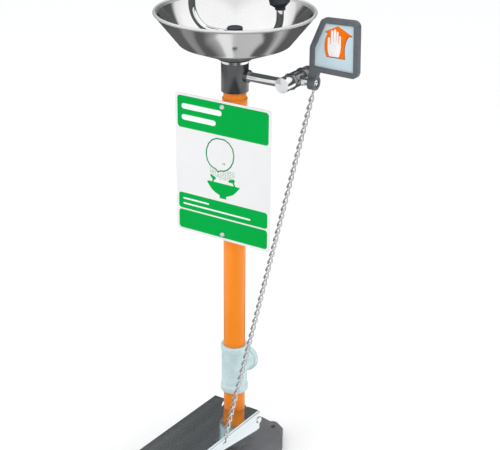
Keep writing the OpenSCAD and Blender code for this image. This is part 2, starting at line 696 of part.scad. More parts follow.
module sign_nuts() color(steel) for (z = sign_rows, s = [0, 1]) mirror([s, 0, 0])
    translate([7, -sign_y + sign_t + 5, z]) rotate([0, 90, 0]) cylinder(h = 2, r = 3.5, $fn = 6);

floor_flange();
flange_set_screws();
lower_pipe();
waste_tee();
upper_pipe();
supply_drain_body();
drain_tailpiece();
ring_nut();
bowl_washer();
bowl();
bowl_gasket();
drain_strainer();
supply_riser();
spray_hub();
hub_cap();
left_spray_arm();
right_spray_arm();
left_spray_head();
right_spray_head();
flow_controls();
spray_faces();
cover_pins();
left_dust_cover();
right_dust_cover();
supply_nipple();
supply_elbow();
valve_body();
valve_end_adapter();
valve_seats();
valve_ball();
valve_stem();
stem_packing();
packing_nut();
push_flag();
flag_panel();
flag_nut();
chain_pin();
chain_ring();
chain();
chain_hook();
treadle();
treadle_bracket();
bracket_screws();
hinge_bolts();
hinge_nuts();
sign_panel();
sign_clamps();
sign_screws();
sign_nuts();
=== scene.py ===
# Pedestal eyewash station. Metres, +Z up, -Y towards the user, origin on the floor at the stanchion's axis.
import json
import math
import random

import bpy
from mathutils import Matrix, Vector

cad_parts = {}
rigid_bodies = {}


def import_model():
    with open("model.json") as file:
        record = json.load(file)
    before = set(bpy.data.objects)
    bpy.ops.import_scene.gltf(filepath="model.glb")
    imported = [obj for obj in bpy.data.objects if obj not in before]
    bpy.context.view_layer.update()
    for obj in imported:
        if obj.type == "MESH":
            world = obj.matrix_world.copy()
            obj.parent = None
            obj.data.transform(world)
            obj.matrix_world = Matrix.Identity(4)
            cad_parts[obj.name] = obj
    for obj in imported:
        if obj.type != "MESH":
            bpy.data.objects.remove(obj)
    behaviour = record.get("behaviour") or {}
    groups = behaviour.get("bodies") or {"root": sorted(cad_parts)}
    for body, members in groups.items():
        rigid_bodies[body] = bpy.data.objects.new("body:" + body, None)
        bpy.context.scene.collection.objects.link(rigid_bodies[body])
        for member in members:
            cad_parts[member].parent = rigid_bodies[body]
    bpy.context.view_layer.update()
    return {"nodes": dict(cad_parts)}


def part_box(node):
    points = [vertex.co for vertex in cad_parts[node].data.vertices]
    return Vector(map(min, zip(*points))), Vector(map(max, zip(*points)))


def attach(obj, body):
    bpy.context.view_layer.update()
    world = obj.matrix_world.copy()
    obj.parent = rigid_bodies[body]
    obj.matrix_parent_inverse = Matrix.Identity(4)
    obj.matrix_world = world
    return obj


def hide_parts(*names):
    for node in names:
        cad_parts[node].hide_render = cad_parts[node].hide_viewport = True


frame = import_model()
nodes = frame["nodes"]
bpy.ops.object.select_all(action="DESELECT")

# ---- Camera --------------------------------------------------------------------------------------
# A long lens from the user's front right, above the rim and looking down, so that the bowl's mouth
# shows and the stanchion stays almost without perspective.
CAMERA_AT = (1.2059, -1.8400, 1.4561)
CAMERA_HEADING = math.radians(32.48)
CAMERA_DOWN = math.radians(23.65)
CAMERA_ROLL = math.radians(0.41)
bpy.ops.object.camera_add()
camera = bpy.context.object
camera.data.lens = 91.05
camera.data.sensor_width = 36
camera.data.clip_end = 50
turn = Matrix.Rotation(CAMERA_HEADING, 4, "Z") @ Matrix.Rotation(math.pi / 2 - CAMERA_DOWN, 4, "X")
camera.matrix_world = Matrix.Translation(CAMERA_AT) @ turn @ Matrix.Rotation(CAMERA_ROLL, 4, "Z")
bpy.context.scene.camera = camera

# ---- Room ----------------------------------------------------------------------------------------
# A pale floor under even studio light. Bright metal mirrors a tent of dark and light cloths around the
# object, which is what gives polished sheet its soft vertical bands.
TENT_RIGHT = (0.8436, 0.5370, 0.0)
TENT_FRONT = (0.5370, -0.8436, 0.0)
LOW_CLOTHS_TOP = -0.25
MIRRORED_TWICE = 2.5
bpy.context.scene.view_settings.view_transform = "Standard"
bpy.ops.mesh.primitive_plane_add(size=14, location=(0, 0, -0.0005))
floor = bpy.context.object
floor.name = "floor"
floor.visible_glossy = False
floor_mat = bpy.data.materials.new("pale_floor")
floor_mat.use_nodes = True
floor_mat.node_tree.nodes["Principled BSDF"].inputs["Base Color"].default_value = (0.97, 0.97, 0.97, 1)
floor_mat.node_tree.nodes["Principled BSDF"].inputs["Roughness"].default_value = 0.9
floor.data.materials.append(floor_mat)

world = bpy.data.worlds.new("tent")
bpy.context.scene.world = world
world.use_nodes = True
sky = world.node_tree
sky.nodes.clear()


def sky_node(kind, **settings):
    node = sky.nodes.new(kind)
    for key, value in settings.items():
        setattr(node, key, value)
    return node


def sky_math(operation, a, b=None):
    node = sky_node("ShaderNodeMath", operation=operation)
    for i, value in enumerate(v for v in (a, b) if v is not None):
        if isinstance(value, (int, float)):
            node.inputs[i].default_value = value
        else:
            sky.links.new(value, node.inputs[i])
    return node.outputs[0]


def sky_ramp(value, low, high, stops):
    scaled = sky_math("DIVIDE", sky_math("SUBTRACT", value, low), high - low)
    node = sky_node("ShaderNodeValToRGB")
    sky.links.new(scaled, node.inputs["Fac"])
    ramp = node.color_ramp
    ramp.interpolation = "LINEAR"
    while len(ramp.elements) < len(stops):
        ramp.elements.new(0.5)
    for element, (place, grey) in zip(ramp.elements, stops):
        element.position = (place - low) / (high - low)
        element.color = (grey, grey, grey * 1.01, 1)
    return node.outputs["Color"]


# Low directions see one row of cloths from side to side. Higher ones see a dark ring, a bright top, a
# bright cloth in front of the object and a dimmer one far to its left.
way = sky_node("ShaderNodeTexCoord").outputs["Generated"]
across = sky_node("ShaderNodeVectorMath", operation="DOT_PRODUCT")
sky.links.new(way, across.inputs[0])
across.inputs[1].default_value = TENT_RIGHT
side = across.outputs["Value"]
parts = sky_node("ShaderNodeSeparateXYZ")
sky.links.new(way, parts.inputs[0])
up = parts.outputs["Z"]
spread = sky_math("MULTIPLY", sky_math("MAXIMUM", sky_math("SUBTRACT", up, -0.88), 0.0), 1.5)
around = sky_math("ADD", side, sky_math("MULTIPLY", sky_math("SIGN", side), spread))
below = sky_ramp(around, -1.7, 1.7, [
    (-1.45, 0.92), (-1.2, 0.8), (-1.0, 0.12), (-0.64, 0.12), (-0.58, 0.30), (-0.46, 0.28), (-0.40, 0.11),
    (-0.30, 0.12), (-0.16, 0.46), (-0.13, 0.95), (-0.04, 0.95), (-0.01, 0.58), (0.22, 0.60), (0.26, 0.11),
    (0.36, 0.12), (0.48, 0.55), (0.62, 0.12), (1.0, 0.11), (1.14, 1.0), (1.3, 1.25)])
risen = sky_math("ADD", up, sky_math("MULTIPLY", sky_math("ABSOLUTE", side), 0.40))
above = sky_ramp(risen, 0.0, 1.0, [(0.0, 0.10), (0.56, 0.10), (0.62, 0.95), (0.75, 1.15), (1.0, 1.2)])
facing = sky_node("ShaderNodeVectorMath", operation="DOT_PRODUCT")
sky.links.new(way, facing.inputs[0])
facing.inputs[1].default_value = TENT_FRONT
front = sky_ramp(facing.outputs["Value"], 0.0, 1.0, [(0.0, 0.0), (0.28, 0.0), (0.42, 0.9), (1.0, 0.95)])
left = sky_ramp(side, -1.0, 0.0, [(-1.0, 0.6), (-0.88, 0.6), (-0.8, 0.0), (0.0, 0.0)])
cloths = above
for cloth in (front, left):
    lighter = sky_node("ShaderNodeMix", data_type="RGBA", blend_type="LIGHTEN")
    lighter.inputs["Factor"].default_value = 1.0
    sky.links.new(cloths, lighter.inputs[6])
    sky.links.new(cloth, lighter.inputs[7])
    cloths = lighter.outputs[2]
tent = sky_node("ShaderNodeMix", data_type="RGBA")
sky.links.new(sky_math("GREATER_THAN", up, LOW_CLOTHS_TOP), tent.inputs["Factor"])
sky.links.new(below, tent.inputs[6])
sky.links.new(cloths, tent.inputs[7])
ray = sky_node("ShaderNodeLightPath")
dimmed = sky_node("ShaderNodeMix", data_type="RGBA")
dimmed.inputs[7].default_value = (0.13, 0.14, 0.14, 1)
sky.links.new(sky_math("GREATER_THAN", ray.outputs["Ray Depth"], MIRRORED_TWICE), dimmed.inputs["Factor"])
sky.links.new(tent.outputs[2], dimmed.inputs[6])
soft_light = sky_node("ShaderNodeMix", data_type="RGBA")
soft_light.inputs[6].default_value = (0.99, 1.0, 1.01, 1)
sky.links.new(ray.outputs["Is Glossy Ray"], soft_light.inputs["Factor"])
sky.links.new(dimmed.outputs[2], soft_light.inputs[7])
seen = sky_node("ShaderNodeMix", data_type="RGBA")
seen.inputs[7].default_value = (1, 1, 1, 1)
sky.links.new(ray.outputs["Is Camera Ray"], seen.inputs["Factor"])
sky.links.new(soft_light.outputs[2], seen.inputs[6])
backdrop = sky_node("ShaderNodeBackground")
sky.links.new(seen.outputs[2], backdrop.inputs["Color"])
sky.links.new(backdrop.outputs[0], sky_node("ShaderNodeOutputWorld").inputs["Surface"])

for name, place, size, power in (("key", (-1.6, -2.4, 2.6), 1.6, 15), ("fill", (2.6, -0.8, 1.7), 1.4, 4),
                                 ("over", (0.2, 0.6, 3.2), 1.8, 6)):
    bpy.ops.object.light_add(type="AREA", location=place)
    lamp = bpy.context.object
    lamp.name = name
    lamp.data.shape = "DISK"
    lamp.data.size = size
    lamp.data.energy = power
    lamp.rotation_euler = (Vector((0, 0, 0.6)) - Vector(place)).to_track_quat("-Z", "Y").to_euler()
    lamp.visible_glossy = False

# ---- Floor flange --------------------------------------------------------------------------------
# A round cast-iron foot with four anchor lugs and a socket for the stanchion, held by one set screw. It is
# sand cast, its faces are machined, and it is dipped in dark grey enamel.


def linear(red, green, blue):
    parts_of_light = (((c / 255 + 0.055) / 1.055) ** 2.4 if c > 10 else c / 3294.6
                      for c in (red, green, blue))
    return tuple(parts_of_light) + (1,)


def effect_group(name, inputs, outputs):
    tree = bpy.data.node_groups.new(name, "ShaderNodeTree")
    for label, kind, value in inputs:
        socket = tree.interface.new_socket(label, in_out="INPUT", socket_type="NodeSocket" + kind)
        socket.default_value = value
    for label, kind in outputs:
        tree.interface.new_socket(label, in_out="OUTPUT", socket_type="NodeSocket" + kind)
    return tree, tree.nodes.new("NodeGroupInput"), tree.nodes.new("NodeGroupOutput")


def noise_in(tree, vector, scale, detail):
    noise = tree.nodes.new("ShaderNodeTexNoise")
    noise.inputs["Detail"].default_value = detail
    tree.links.new(vector, noise.inputs["Vector"])
    if isinstance(scale, (int, float)):
        noise.inputs["Scale"].default_value = scale
    else:
        tree.links.new(scale, noise.inputs["Scale"])
    return noise.outputs["Fac"]


def range_in(tree, value, low, high, to_low=0.0, to_high=1.0):
    node = tree.nodes.new("ShaderNodeMapRange")
    tree.links.new(value, node.inputs["Value"])
    node.inputs["From Min"].default_value = low
    node.inputs["From Max"].default_value = high
    for label, limit in (("To Min", to_low), ("To Max", to_high)):
        if isinstance(limit, (int, float)):
            node.inputs[label].default_value = limit
        else:
            tree.links.new(limit, node.inputs[label])
    return node.outputs["Result"]


def mix_in(tree, factor, first, second):
    node = tree.nodes.new("ShaderNodeMix")
    node.data_type = "RGBA"
    tree.links.new(factor, node.inputs["Factor"])
    tree.links.new(first, node.inputs[6])
    tree.links.new(second, node.inputs[7])
    return node.outputs[2]


# Cloudy colour and gloss over the surface, with a fine grain that also stands up as relief.
grain, given, result = effect_group("surface_grain", [
    ("Deep", "Color", (0.1, 0.1, 0.1, 1)), ("Pale", "Color", (0.2, 0.2, 0.2, 1)),
    ("Stretch", "Vector", (1, 1, 1)), ("Clouds", "Float", 30), ("Grain", "Float", 900),
    ("Smooth", "Float", 0.3), ("Rough", "Float", 0.5)],
    [("Colour", "Color"), ("Roughness", "Float"), ("Relief", "Float")])
place = grain.nodes.new("ShaderNodeTexCoord").outputs["Object"]
stretched = grain.nodes.new("ShaderNodeVectorMath")
stretched.operation = "MULTIPLY"
grain.links.new(place, stretched.inputs[0])
grain.links.new(given.outputs["Stretch"], stretched.inputs[1])
clouds = noise_in(grain, stretched.outputs[0], given.outputs["Clouds"], 3)
fine = noise_in(grain, stretched.outputs[0], given.outputs["Grain"], 2)
both = grain.nodes.new("ShaderNodeMath")
both.operation = "ADD"
grain.links.new(range_in(grain, clouds, 0.3, 0.7, 0.0, 0.6), both.inputs[0])
grain.links.new(range_in(grain, fine, 0.3, 0.7, 0.0, 0.4), both.inputs[1])
clouded = mix_in(grain, both.outputs[0], given.outputs["Deep"], given.outputs["Pale"])
grain.links.new(clouded, result.inputs[0])
grain.links.new(range_in(grain, both.outputs[0], 0, 1, given.outputs["Smooth"], given.outputs["Rough"]),
                result.inputs[1])
grain.links.new(fine, result.inputs[2])

# Corners rubbed by handling: the coat thins where the surface is sharpest, in an uneven line.
wear, given, result = effect_group("edge_wear", [
    ("Coat", "Color", (0.5, 0.5, 0.5, 1)), ("Bare", "Color", (0.7, 0.7, 0.7, 1)),
    ("Amount", "Float", 0.3)], [("Colour", "Color")])
sharp = wear.nodes.new("ShaderNodeNewGeometry").outputs["Pointiness"]
place = wear.nodes.new("ShaderNodeTexCoord").outputs["Object"]
worn = wear.nodes.new("ShaderNodeMath")
worn.operation = "MULTIPLY"
wear.links.new(range_in(wear, sharp, 0.53, 0.60), worn.inputs[0])
wear.links.new(range_in(wear, noise_in(wear, place, 160, 4), 0.35, 0.65), worn.inputs[1])
amount = wear.nodes.new("ShaderNodeMath")
amount.operation = "MULTIPLY"
wear.links.new(worn.outputs[0], amount.inputs[0])
wear.links.new(given.outputs["Amount"], amount.inputs[1])
rubbed_through = mix_in(wear, amount.outputs[0], given.outputs["Coat"], given.outputs["Bare"])
wear.links.new(rubbed_through, result.inputs[0])


def finish_of(name, deep, pale, gloss, metal=0.0, clear=0.0, clouds=30, grain_size=900, relief=0.05,
              stretch=(1, 1, 1), bare=None, worn_by=0.3, shine=0.5):
    material = bpy.data.materials.new(name)
    material.use_nodes = True
    tree = material.node_tree
    shader = tree.nodes["Principled BSDF"]
    shader.inputs["Metallic"].default_value = metal
    shader.inputs["Specular IOR Level"].default_value = shine
    shader.inputs["Coat Weight"].default_value = clear
    shader.inputs["Coat Roughness"].default_value = 0.12
    skin = tree.nodes.new("ShaderNodeGroup")
    skin.node_tree = grain
    for label, value in (("Deep", linear(*deep)), ("Pale", linear(*pale)), ("Stretch", stretch),
                         ("Clouds", clouds), ("Grain", grain_size), ("Smooth", gloss[0]),
                         ("Rough", gloss[1])):
        skin.inputs[label].default_value = value
    colour = skin.outputs["Colour"]
    if bare:
        rubbed = tree.nodes.new("ShaderNodeGroup")
        rubbed.node_tree = wear
        tree.links.new(colour, rubbed.inputs["Coat"])
        rubbed.inputs["Bare"].default_value = linear(*bare)
        rubbed.inputs["Amount"].default_value = worn_by
        colour = rubbed.outputs["Colour"]
    bump = tree.nodes.new("ShaderNodeBump")
    bump.inputs["Strength"].default_value = relief
    bump.inputs["Distance"].default_value = 0.0005
    tree.links.new(colour, shader.inputs["Base Color"])
    tree.links.new(skin.outputs["Roughness"], shader.inputs["Roughness"])
    tree.links.new(skin.outputs["Relief"], bump.inputs["Height"])
    tree.links.new(bump.outputs["Normal"], shader.inputs["Normal"])
    return material


def only(piece):
    bpy.ops.object.select_all(action="DESELECT")
    piece.select_set(True)
    bpy.context.view_layer.objects.active = piece


def eased_copy(node, name, edge, sharp=35, steps=2):
    piece = bpy.data.objects.new(name, nodes[node].data.copy())
    bpy.context.scene.collection.objects.link(piece)
    piece.data.materials.clear()
    only(piece)
    bpy.ops.object.mode_set(mode="EDIT")
    bpy.ops.mesh.select_all(action="SELECT")
    bpy.ops.mesh.remove_doubles(threshold=1e-6)
    bpy.ops.mesh.dissolve_limited(angle_limit=math.radians(0.4))
    bpy.ops.mesh.normals_make_consistent(inside=False)
    bpy.ops.object.mode_set(mode="OBJECT")
    if edge:
        bpy.ops.object.modifier_add(type="BEVEL")
        bevel = piece.modifiers[-1]
        bevel.width = edge
        bevel.segments = steps
        bevel.limit_method = "ANGLE"
        bevel.angle_limit = math.radians(sharp)
        bevel.use_clamp_overlap = True
        bpy.ops.object.modifier_apply(modifier=bevel.name)
    bpy.ops.object.shade_smooth_by_angle(angle=math.radians(30))
    return piece


def fit(piece, body, material, slot_name, *stands_for):
    only(piece)
    piece.data.materials.clear()
    piece.data.materials.append(material)
    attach(piece, body)
    if stands_for:
        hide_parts(*stands_for)
    return piece


grey_enamel = finish_of("grey_enamel", (92, 93, 96), (112, 113, 116), (0.38, 0.52), clouds=22,
                        grain_size=500, relief=0.35, bare=(150, 150, 150), worn_by=0.5)
fit(eased_copy("floor_flange", "cast_foot", 0.0012), "stand", grey_enamel, "cast_grey", "floor_flange")
blackened = finish_of("blackened_screw", (58, 58, 60), (80, 80, 84), (0.3, 0.45), metal=0.7, clouds=200,
                      grain_size=2500, relief=0.1, bare=(170, 170, 170))
fit(eased_copy("flange_set_screws", "foot_set_screw", 0.0004), "stand", blackened, "zinc_steel",
    "flange_set_screws")

# ---- Stanchion pipes -----------------------------------------------------------------------------
# Two lengths of steel pipe, which carry the station and take its waste water down. They are powder coated
# in safety orange, with the slight orange peel that such a coat cures to.
orange_coat = finish_of("orange_powder_coat", (252, 136, 18), (255, 148, 30), (0.26, 0.34), clear=0.12,
                        clouds=14, grain_size=420, relief=0.12, shine=0.3)
for node, name in (("lower_pipe", "lower_stanchion"), ("upper_pipe", "upper_stanchion")):
    fit(eased_copy(node, name, 0.0006), "stand", orange_coat, "safety_orange", node)

# ---- Waste tee -----------------------------------------------------------------------------------
# A banded malleable-iron tee between the two pipes, open to the rear for the drain. It is hot-dip
# galvanised, so its zinc shows pale bluish spangles of different gloss.
spangled = finish_of("galvanised_zinc", (194, 221, 224), (216, 236, 238), (0.42, 0.6), metal=0.25,
                     clouds=60, grain_size=700, relief=0.22, bare=(225, 232, 232), worn_by=0.6)
tree = spangled.node_tree
cells = tree.nodes.new("ShaderNodeTexVoronoi")
cells.inputs["Scale"].default_value = 190
place = tree.nodes.new("ShaderNodeTexCoord")
tree.links.new(place.outputs["Object"], cells.inputs["Vector"])
shader = tree.nodes["Principled BSDF"]
plain = shader.inputs["Base Color"].links[0].from_socket
tinted = tree.nodes.new("ShaderNodeMix")
tinted.data_type = "RGBA"
tinted.blend_type = "SOFT_LIGHT"
tinted.inputs["Factor"].default_value = 0.22
tree.links.new(plain, tinted.inputs[6])
grey_only = tree.nodes.new("ShaderNodeHueSaturation")
grey_only.inputs["Saturation"].default_value = 0.0
tree.links.new(cells.outputs["Color"], grey_only.inputs["Color"])
tree.links.new(grey_only.outputs["Color"], tinted.inputs[7])
tree.links.new(tinted.outputs[2], shader.inputs["Base Color"])
fit(eased_copy("waste_tee", "drain_tee", 0.0014, steps=3), "stand", spangled, "galvanised", "waste_tee")

# ---- Supply and drain body -----------------------------------------------------------------------
# A turned body at the stanchion's top. Water comes in at its side and rises to the heads, and the bowl
# drains past it into the pipe. It is die cast and coated in charcoal.
charcoal = finish_of("charcoal_coat", (84, 85, 86), (100, 101, 102), (0.2, 0.28), metal=0.85, clouds=30,
                     grain_size=800, relief=0.12, bare=(140, 140, 140), worn_by=0.25)
fit(eased_copy("supply_drain_body", "centre_body", 0.0008), "stand", charcoal, "body_grey",
    "supply_drain_body")

# ---- Drain tailpiece, ring nut and strainer ------------------------------------------------------
# A flanged tube holds the bowl down on its washer against the ring nut, with a drilled strainer in its
# mouth. All three are turned or pressed brass, chrome plated.
chrome = finish_of("chrome_plate", (222, 224, 226), (238, 239, 240), (0.03, 0.07), metal=1.0, clouds=60,
                   grain_size=1800, relief=0.008)
for node, name, edge in (("drain_tailpiece", "drain_tube", 0.0004), ("ring_nut", "bowl_ring_nut", 0.0005),
                         ("drain_strainer", "strainer", 0.0002)):
    fit(eased_copy(node, name, edge), "stand", chrome, "chrome_plate", node)

# ---- Bowl washer and gasket ----------------------------------------------------------------------
# Black moulded rings above and below the bowl's flat centre seal the drain.
black_rubber = finish_of("black_rubber", (24, 24, 25), (38, 38, 40), (0.62, 0.82), clouds=120,
                         grain_size=3000, relief=0.25)
for node, name in (("bowl_washer", "lower_seal"), ("bowl_gasket", "upper_seal")):
    fit(eased_copy(node, name, 0.0003), "stand", black_rubber, "black_rubber", node)

# ---- Bowl ----------------------------------------------------------------------------------------
# One sheet of stainless steel, spun to a flat centre, a sloping bottom and a steep wall, its edge curled
# outwards into a lip. Spinning leaves fine rings round the axis.
RIM_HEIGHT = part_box("bowl")[1].z
RIM_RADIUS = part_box("bowl")[1].x
BOWL_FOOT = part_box("bowl")[0].z
SHEET = 0.0012
LIP = 0.003


def spun(name, outline, steps, smooth=35):
    bpy.ops.object.select_all(action="DESELECT")
    bpy.ops.mesh.primitive_plane_add(size=0.01, location=(0, 0, 0))
    piece = bpy.context.object
    piece.name = name
    bpy.ops.object.mode_set(mode="EDIT")
    bpy.ops.mesh.merge(type="CENTER")
    bpy.ops.transform.translate(value=(outline[0][0], 0, outline[0][1]))
    for start, end in zip(outline, outline[1:] + outline[:1]):
        bpy.ops.mesh.extrude_region_move(
            TRANSFORM_OT_translate={"value": (end[0] - start[0], 0, end[1] - start[1])})
    bpy.ops.mesh.select_all(action="SELECT")
    bpy.ops.mesh.spin(steps=steps, angle=2 * math.pi, center=(0, 0, 0), axis=(0, 0, 1))
    bpy.ops.mesh.select_all(action="SELECT")
    bpy.ops.mesh.remove_doubles(threshold=1e-6)
    bpy.ops.mesh.normals_make_consistent(inside=False)
    bpy.ops.object.mode_set(mode="OBJECT")
    only(piece)
    bpy.ops.object.shade_smooth_by_angle(angle=math.radians(smooth))
    return piece


def sheet_side(inset):
    corner = (0.0941, RIM_HEIGHT - 0.0505)
    bend = 0.011 - inset
    side = [(0.0295, BOWL_FOOT + inset), (0.0306, BOWL_FOOT + inset + 0.0001)]
    side += [(0.0318 - inset * 0.2, BOWL_FOOT + inset + 0.0005)]
    side += [(corner[0] + bend * math.cos(math.radians(a)), corner[1] + bend * math.sin(math.radians(a)))
             for a in range(-68, -26, 6)]
    return side


lip_mid = (RIM_RADIUS - LIP, RIM_HEIGHT - LIP)
outer = [(0.02, BOWL_FOOT)] + sheet_side(0)
outer += [(lip_mid[0] + LIP * math.cos(math.radians(a)), lip_mid[1] + LIP * math.sin(math.radians(a)))
          for a in range(-75, 186, 20)]
inner = [(0.02, BOWL_FOOT + SHEET)] + sheet_side(SHEET)
bowl = spun("eyewash_bowl", outer + inner[::-1], 144, smooth=50)
stainless = finish_of("spun_stainless", (222, 223, 222), (236, 236, 234), (0.13, 0.2), metal=1.0,
                      clouds=9, grain_size=300, relief=0.0)
tree = stainless.node_tree
shader = tree.nodes["Principled BSDF"]
place = tree.nodes.new("ShaderNodeTexCoord").outputs["Object"]
split = tree.nodes.new("ShaderNodeSeparateXYZ")
tree.links.new(place, split.inputs[0])
flat_way = tree.nodes.new("ShaderNodeCombineXYZ")
tree.links.new(split.outputs["X"], flat_way.inputs["X"])
tree.links.new(split.outputs["Y"], flat_way.inputs["Y"])
radius = tree.nodes.new("ShaderNodeVectorMath")
radius.operation = "LENGTH"
tree.links.new(flat_way.outputs[0], radius.inputs[0])
ring_way = tree.nodes.new("ShaderNodeCombineXYZ")
tree.links.new(radius.outputs["Value"], ring_way.inputs["X"])
tree.links.new(split.outputs["Z"], ring_way.inputs["Z"])
rings = noise_in(tree, ring_way.outputs[0], 1500, 3)
bump = shader.inputs["Normal"].links[0].from_node
bump.inputs["Strength"].default_value = 0.012
tree.links.new(rings, bump.inputs["Height"])
rim_polish = range_in(tree, split.outputs["Z"], RIM_HEIGHT - 0.0066, RIM_HEIGHT - 0.0058, 0.0, 0.4)
gloss = tree.nodes.new("ShaderNodeMath")
gloss.operation = "ADD"
tree.links.new(range_in(tree, rings, 0.3, 0.7, 0.08, 0.12), gloss.inputs[0])
tree.links.new(rim_polish, gloss.inputs[1])
tree.links.new(gloss.outputs[0], shader.inputs["Roughness"])
fit(bowl, "stand", stainless, "stainless", "bowl")

# ---- Supply riser, spray hub, cap and arms -------------------------------------------------------
# Water climbs a short riser to a round hub, closed by a plastic cap, and parts into two bent tubes that
# carry the heads over the bowl. The metal is chrome-plated brass.
graphite = finish_of("graphite_plastic", (38, 42, 52), (52, 57, 68), (0.36, 0.5), clouds=50,
                     grain_size=1400, relief=0.14, bare=(96, 100, 110), worn_by=0.3)
for node, name, edge in (("supply_riser", "riser_tube", 0.0004), ("spray_hub", "arm_hub", 0.0010),
                         ("left_spray_arm", "left_arm_tube", 0.0003),
                         ("right_spray_arm", "right_arm_tube", 0.0003)):
    fit(eased_copy(node, name, edge), "stand", chrome, "chrome_plate", node)
fit(eased_copy("hub_cap", "arm_hub_cap", 0.0005), "stand", graphite, "graphite_plastic", "hub_cap")

# ---- Spray heads ---------------------------------------------------------------------------------
# Each head is a moulded cup on the arm's end, with a flow control and a drilled face inside that spread the
# water softly. Two lugs at the rim's outer side carry the dust cover's pin.
for side in ("left", "right"):
    fit(eased_copy(side + "_spray_head", side + "_head_cup", 0.0007), "stand", graphite,
        "graphite_plastic", side + "_spray_head")
seal_white = finish_of("white_sealing_plastic", (226, 226, 220), (240, 240, 235), (0.4, 0.55), clouds=90,
                       grain_size=1600, relief=0.06)
fit(eased_copy("flow_controls", "flow_discs", 0.0003), "stand", seal_white, "seat_white", "flow_controls")
fit(eased_copy("spray_faces", "drilled_faces", 0.0002), "stand", graphite, "graphite_plastic",
    "spray_faces")
zinc = finish_of("zinc_plated_steel", (214, 216, 218), (234, 236, 237), (0.10, 0.18), metal=1.0,
                 clouds=120, grain_size=2200, relief=0.04)
fit(eased_copy("cover_pins", "cover_hinge_pins", 0.0003), "stand", zinc, "zinc_steel", "cover_pins")

# ---- Dust covers ---------------------------------------------------------------------------------
# A flip-up cap over each head keeps the face clean, and the water throws it open. It is moulded in the
# head's plastic and turns on the pin at its outer edge.
for side in ("left", "right"):
    fit(eased_copy(side + "_dust_cover", side + "_flip_cap", 0.0008, steps=3), side + "_cover", graphite,
        "graphite_plastic", side + "_dust_cover")

# ---- Supply pipe, elbow and ball valve -----------------------------------------------------------
# A nipple and an elbow lead to the stay-open ball valve, whose rear end takes the building's pipe. The
# first two are chrome-plated brass and the valve is dull nickel. Its ball turns between two white seats.
nickel = finish_of("valve_nickel_plate", (118, 120, 122), (156, 158, 160), (0.20, 0.32), metal=1.0,
                   clouds=90, grain_size=1100, relief=0.06)
for node, name, edge, plating in (
        ("supply_nipple", "supply_nipple_tube", 0.0004, chrome),
        ("supply_elbow", "valve_elbow", 0.0010, chrome),
        ("valve_body", "valve_housing", 0.0006, nickel),
        ("valve_end_adapter", "valve_rear_end", 0.0007, nickel)):
    fit(eased_copy(node, name, edge), "stand", plating, "chrome_plate", node)
fit(eased_copy("valve_ball", "drilled_ball", 0.0002), "handle", chrome, "chrome_plate", "valve_ball")
fit(eased_copy("valve_seats", "ball_seats", 0.0002), "stand", seal_white, "seat_white", "valve_seats")
fit(eased_copy("stem_packing", "stem_seal", 0.0002), "stand", seal_white, "seat_white", "stem_packing")
fit(eased_copy("valve_stem", "turning_stem", 0.0003), "handle", zinc, "zinc_steel", "valve_stem")
fit(eased_copy("packing_nut", "gland_nut", 0.0005), "stand", zinc, "zinc_steel", "packing_nut")

# ---- Push flag -----------------------------------------------------------------------------------
# The hand lever: a moulded frame with a hub that grips the valve's stem, a nut in the hub's end, and a slot
# with a cross pin for the chain's ring. Its panel carries a push mark of an arrow with an open hand.
flag_grey = finish_of("flag_grey_plastic", (80, 84, 90), (98, 102, 108), (0.36, 0.48), clouds=40,
                      grain_size=1100, relief=0.14, bare=(140, 142, 146), worn_by=0.06)
fit(eased_copy("push_flag", "push_lever", 0.0009, steps=3), "handle", flag_grey, "flag_grey", "push_flag")
panel_blue = finish_of("flag_panel_blue", (190, 213, 222), (206, 226, 233), (0.25, 0.36), clear=0.3,
                       clouds=26, grain_size=900, relief=0.03)
fit(eased_copy("flag_panel", "lever_panel", 0.0003), "handle", panel_blue, "flag_blue", "flag_panel")
fit(eased_copy("flag_nut", "lever_nut", 0.0005), "handle", zinc, "zinc_steel", "flag_nut")
fit(eased_copy("chain_pin", "lever_pin", 0.0002), "handle", zinc, "zinc_steel", "chain_pin")


def cut_film(name, outline, front, thick):
    """A thin film facing -Y: outline in X and Z, its front face at Y = front."""
    bpy.ops.object.select_all(action="DESELECT")
    bpy.ops.mesh.primitive_plane_add(size=0.01, location=(0, 0, 0))
    piece = bpy.context.object
    piece.name = name
    bpy.ops.object.mode_set(mode="EDIT")
    bpy.ops.mesh.merge(type="CENTER")
    bpy.ops.transform.translate(value=(outline[0][0], front + thick, outline[0][1]))
    for start, end in zip(outline, outline[1:] + outline[:1]):
        bpy.ops.mesh.extrude_region_move(
            TRANSFORM_OT_translate={"value": (end[0] - start[0], 0, end[1] - start[1])})
    bpy.ops.mesh.select_all(action="SELECT")
    bpy.ops.mesh.remove_doubles(threshold=1e-7)
    bpy.ops.mesh.edge_face_add()
    bpy.ops.mesh.extrude_region_move(TRANSFORM_OT_translate={"value": (0, -thick, 0)})
    bpy.ops.mesh.select_all(action="SELECT")
    bpy.ops.mesh.normals_make_consistent(inside=False)
    bpy.ops.object.mode_set(mode="OBJECT")
    return piece


def as_metres(points, middle=(0.0, 0.0)):
    return [(middle[0] + x / 1000, middle[1] + z / 1000) for x, z in points]


